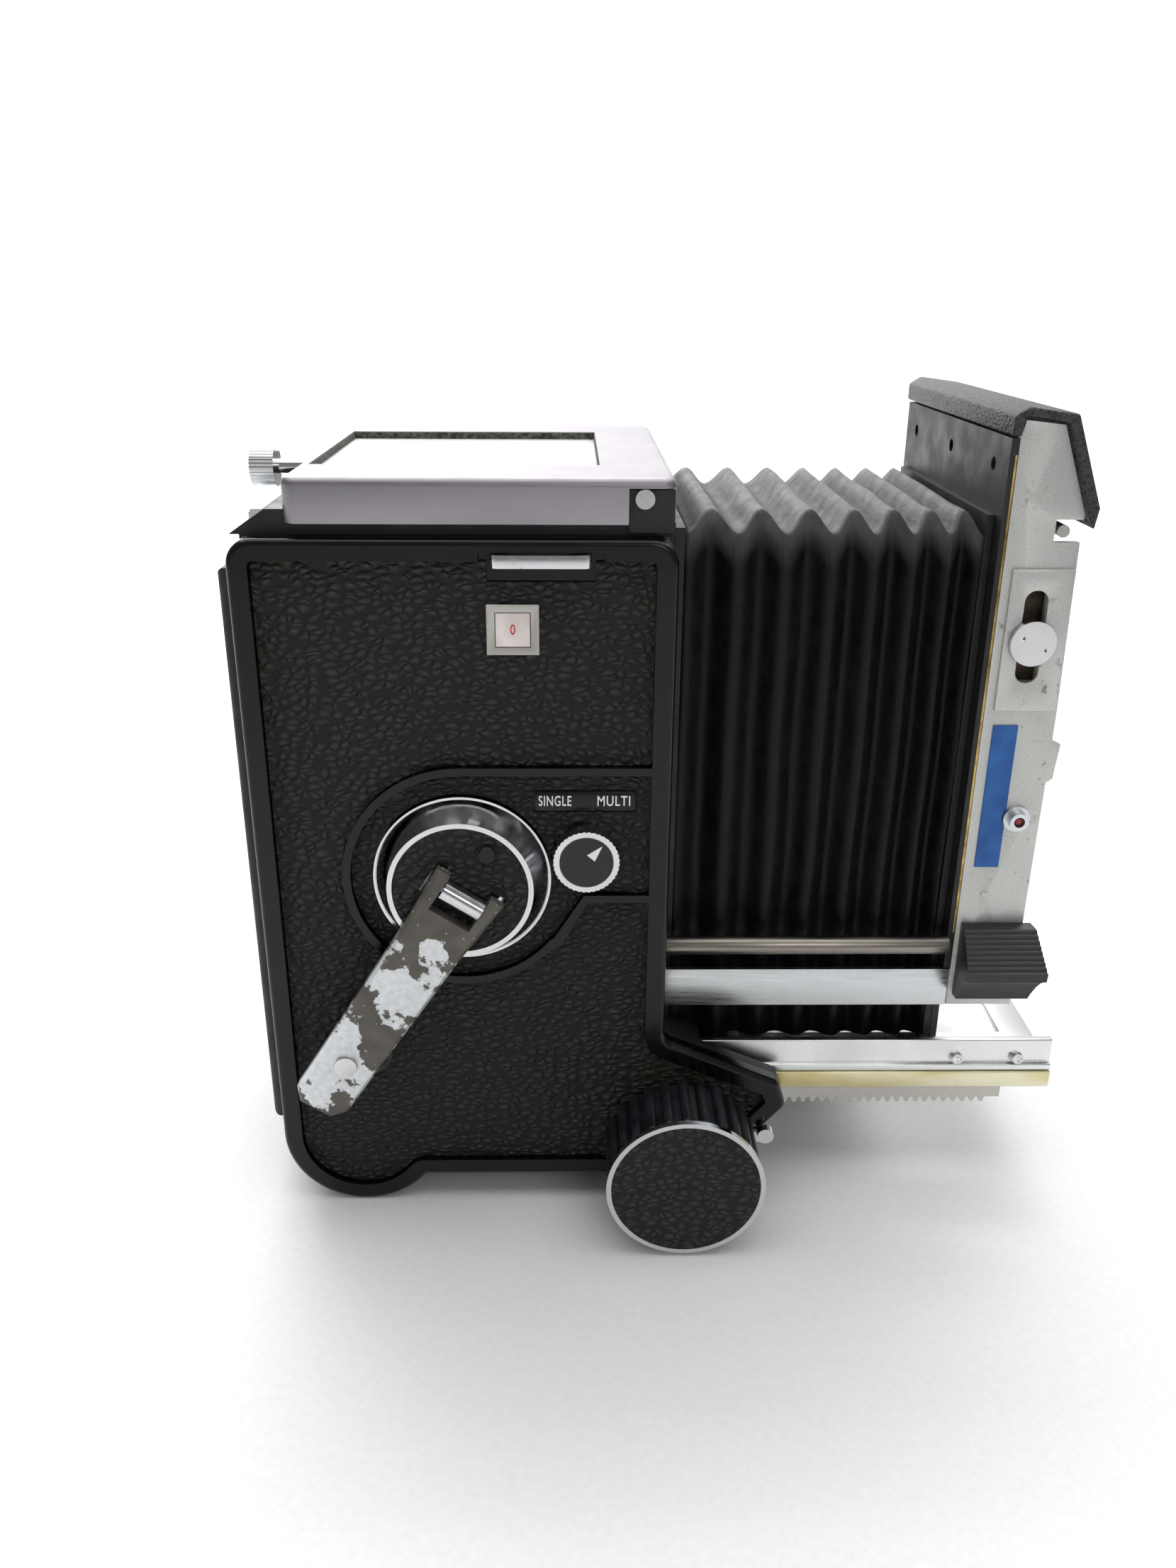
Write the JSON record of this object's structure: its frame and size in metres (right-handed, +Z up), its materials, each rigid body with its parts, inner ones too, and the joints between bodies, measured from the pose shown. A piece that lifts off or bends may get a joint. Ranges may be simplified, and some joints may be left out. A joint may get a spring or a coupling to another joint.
{
  "type": "folding bellows camera body",
  "caption": "Twin-lens reflex camera body with a racked-out bellows, open lens panel, folding winding crank, focusing knobs and a waist-level focusing screen.",
  "frame": {"origin": "mouth of the tripod socket, in the plane that the camera stands on", "axes": "+X is the taking direction towards the lens panel, -Y is the winding-crank side, +Z is up"},
  "size_m": [0.1726, 0.1262, 0.1696],
  "materials": {
    "black_casting": "matte black",
    "black_enamel": "gloss enamel",
    "black_leather": "grained",
    "satin_chrome": "satin",
    "bright_chrome": "polished",
    "steel": "bright",
    "brass": "nickel worn over brass",
    "silver_mirror": "front-silvered",
    "ground_glass": "ground",
    "black_plastic": "ribbed",
    "worn_paint": "grey-brown paint worn to bare metal",
    "bellows_leather": "pleated",
    "blue_label": "satin",
    "crinkle_black": "crinkle",
    "dial_white": "printed"
  },
  "bodies": {
    "body": {"chassis_right": "black_casting", "chassis_left": "black_casting", "base_casting": "black_casting", "tripod_bush": "steel", "upper_casting": "black_casting", "film_gate": "black_casting", "mirror": "silver_mirror", "mirror_holder": "black_casting", "side_cover_right": "black_enamel", "side_cover_left": "black_enamel", "leatherette": "black_leather", "label_plate": "black_enamel", "strap_lugs": "bright_chrome", "counter_bezel": "bright_chrome", "knob_well": "black_casting", "door_hinge": "steel", "finder_seat": "black_casting", "focusing_screen": "ground_glass", "finder_frame": "satin_chrome", "finder_screws": "bright_chrome", "bellows_rear_frame": "black_casting", "bellows": "bellows_leather"},
    "door": {"back_door": "black_casting", "back_leather": "black_leather", "pressure_plate": "steel"},
    "latch": {"back_latch": "satin_chrome"},
    "hood_screw": {"finder_lock_screw": "bright_chrome"},
    "crank": {"crank_drum": "bright_chrome", "crank_disc": "black_leather"},
    "arm": {"crank_arm": "worn_paint", "crank_pins": "steel"},
    "handle": {"crank_knob": "steel"},
    "counter": {"counter_dial": "dial_white"},
    "take_up": {"take_up_spool": "black_plastic"},
    "selector": {"selector_knob": "bright_chrome"},
    "focus_drive": {"focus_shaft": "steel", "knob_grips": "black_plastic", "knob_rings": "bright_chrome", "knob_leathers": "black_leather"},
    "focus_lever": {"focus_lock": "bright_chrome"},
    "spool_pin_upper": {"spool_knob_upper": "bright_chrome"},
    "spool_pin_lower": {"spool_knob_lower": "bright_chrome"},
    "lens_lock": {"lens_lock_knob": "bright_chrome"},
    "baffle": {"lens_baffle": "black_casting"},
    "standard": {"bellows_front_frame": "black_casting", "bed_tray": "satin_chrome", "bed_rails": "brass", "racks": "steel", "bed_screws": "bright_chrome", "rear_plate": "black_casting", "standard_frame": "satin_chrome", "lens_panel": "black_casting", "lens_wire": "steel", "top_cap": "crinkle_black", "slide_plate": "satin_chrome", "blue_plate": "blue_label", "cable_socket": "satin_chrome", "guide_bars": "steel"},
    "disc": {"cocking_disc": "bright_chrome"},
    "trigger": {"release_trigger": "black_plastic"}
  },
  "joints": [
    {"name": "focus_slide", "type": "slide", "parent": "body", "child": "standard", "axis": [1, 0, 0], "range_m": [-0.054, 0], "deforming": ["bellows"]},
    {"name": "focus_spin", "type": "hinge", "parent": "body", "child": "focus_drive", "pos_m": [0.045, 0, 0.0173], "axis": [0, 1, 0], "range_deg": [-932, 2]},
    {"name": "focus_lock_turn", "type": "hinge", "parent": "body", "child": "focus_lever", "pos_m": [0.045, -0.0459, 0.0173], "axis": [0, 1, 0], "range_deg": [-14, 0]},
    {"name": "crank_spin", "type": "hinge", "parent": "body", "child": "crank", "pos_m": [-0.0003, -0.045, 0.0792], "axis": [0, -1, 0], "continuous": true},
    {"name": "crank_fold", "type": "hinge", "parent": "crank", "child": "arm", "pos_m": [0.0001, -0.0516, 0.0782], "axis": [-0.8348, 0, 0.5505], "range_deg": [0, 172]},
    {"name": "crank_handle_spin", "type": "hinge", "parent": "arm", "child": "handle", "pos_m": [-0.02467, -0.0516, 0.04063], "axis": [0, -1, 0], "continuous": true},
    {"name": "counter_turn", "type": "hinge", "parent": "body", "child": "counter", "pos_m": [0.001, -0.0401, 0.127], "axis": [0, -1, 0], "continuous": true},
    {"name": "take_up_turn", "type": "hinge", "parent": "body", "child": "take_up", "pos_m": [-0.026, 0, 0.118], "axis": [0, -1, 0], "continuous": true},
    {"name": "selector_turn", "type": "hinge", "parent": "body", "child": "selector", "pos_m": [0.0244, -0.045, 0.0846], "axis": [0, -1, 0], "range_deg": [-8, 62]},
    {"name": "back_door_hinge", "type": "hinge", "parent": "body", "child": "door", "pos_m": [-0.0433, 0, 0.0184], "axis": [0, -1, 0], "range_deg": [0, 95]},
    {"name": "latch_slide", "type": "slide", "parent": "body", "child": "latch", "axis": [0, 0, 1], "range_m": [0, 0.002]},
    {"name": "hood_screw_turn", "type": "hinge", "parent": "body", "child": "hood_screw", "pos_m": [-0.042, 0, 0.1536], "axis": [1, 0, 0], "continuous": true},
    {"name": "spool_knob_upper_pull", "type": "slide", "parent": "body", "child": "spool_pin_upper", "axis": [0, 1, 0], "range_m": [0, 0.005]},
    {"name": "spool_knob_lower_pull", "type": "slide", "parent": "body", "child": "spool_pin_lower", "axis": [0, 1, 0], "range_m": [0, 0.005]},
    {"name": "lens_lock_turn", "type": "hinge", "parent": "body", "child": "lens_lock", "pos_m": [0.024, 0.045, 0.06], "axis": [0, 1, 0], "range_deg": [0, 90]},
    {"name": "baffle_hinge", "type": "hinge", "parent": "body", "child": "baffle", "pos_m": [0.0364, 0, 0.0406], "axis": [0, 1, 0], "range_deg": [-90, 0]},
    {"name": "disc_slide", "type": "slide", "parent": "standard", "child": "disc", "axis": [0, 0, 1], "range_m": [-0.0058, 0.0076]},
    {"name": "trigger_press", "type": "hinge", "parent": "standard", "child": "trigger", "pos_m": [0.1056, -0.0385, 0.062], "axis": [0, 1, 0], "range_deg": [0, 8], "stiffness_Nm_per_rad": 0.4}
  ],
  "couplings": [
    {"joint": "focus_spin", "follows": "focus_slide", "rad_per_m": 300},
    {"joint": "counter_turn", "follows": "crank_spin", "ratio": 0.05},
    {"joint": "take_up_turn", "follows": "crank_spin", "ratio": 1},
    {"joint": "baffle_hinge", "follows": "lens_lock_turn", "ratio": -1}
  ]
}
